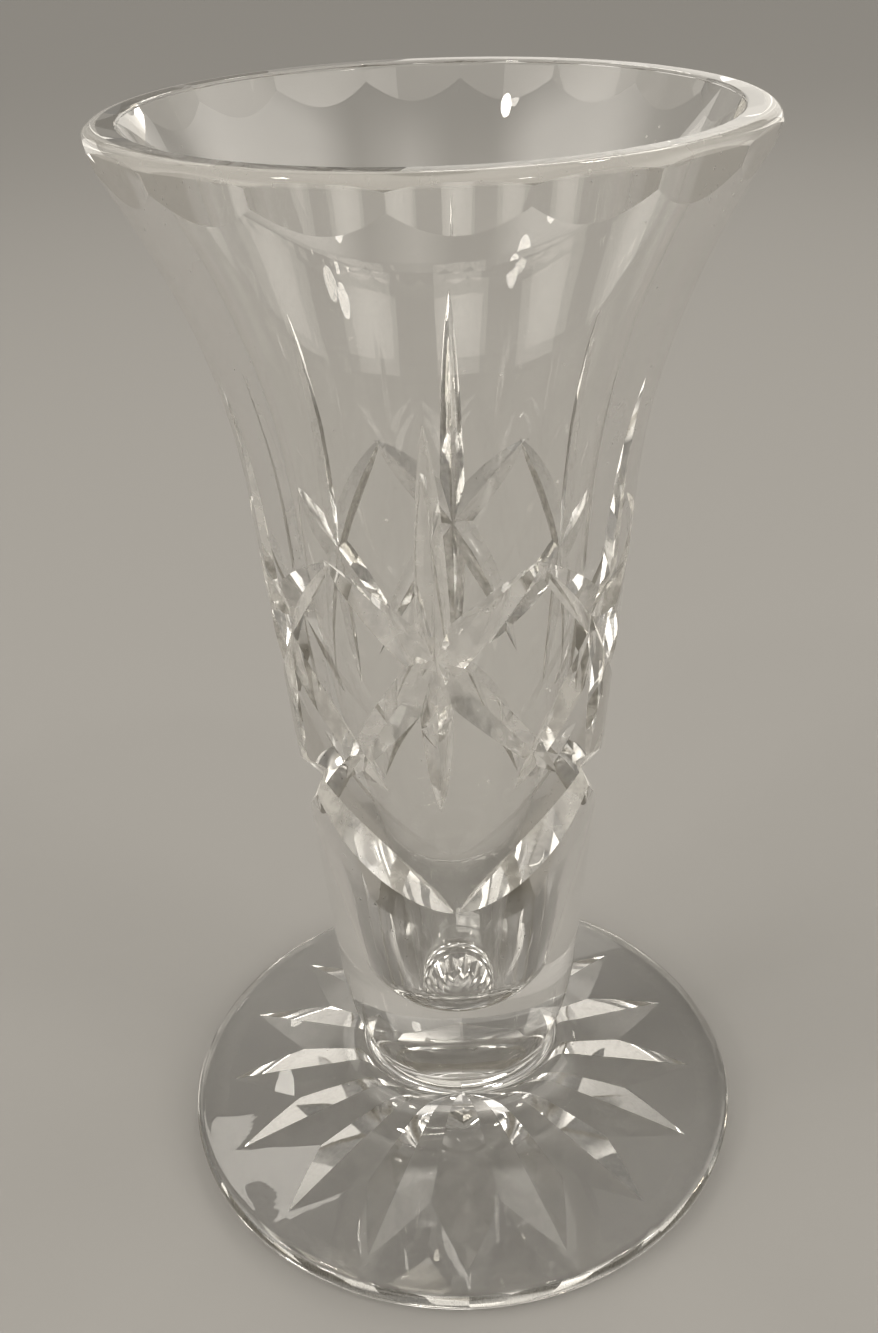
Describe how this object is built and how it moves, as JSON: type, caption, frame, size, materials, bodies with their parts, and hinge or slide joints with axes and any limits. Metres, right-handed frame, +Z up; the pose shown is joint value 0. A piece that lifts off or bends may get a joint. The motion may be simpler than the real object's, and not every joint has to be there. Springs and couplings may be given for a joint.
{
  "type": "footed bud vase",
  "caption": "Trumpet-shaped cut crystal bud vase with mitre-cut stars, a festoon of leaf cuts, a faceted rim and a star-cut round foot.",
  "frame": {"origin": "centre of the foot's standing face", "axes": "+Z up along the vase's axis, -Y towards the front, where a festoon hangs lowest under a star"},
  "size_m": [0.085, 0.085, 0.15],
  "materials": {
    "bowl_crystal": "polished clear lead crystal with acid-polished mitre cuts",
    "foot_crystal": "polished clear lead crystal with a cut star underneath"
  },
  "bodies": {
    "root": {"bowl": "bowl_crystal", "foot": "foot_crystal"}
  },
  "joints": []
}
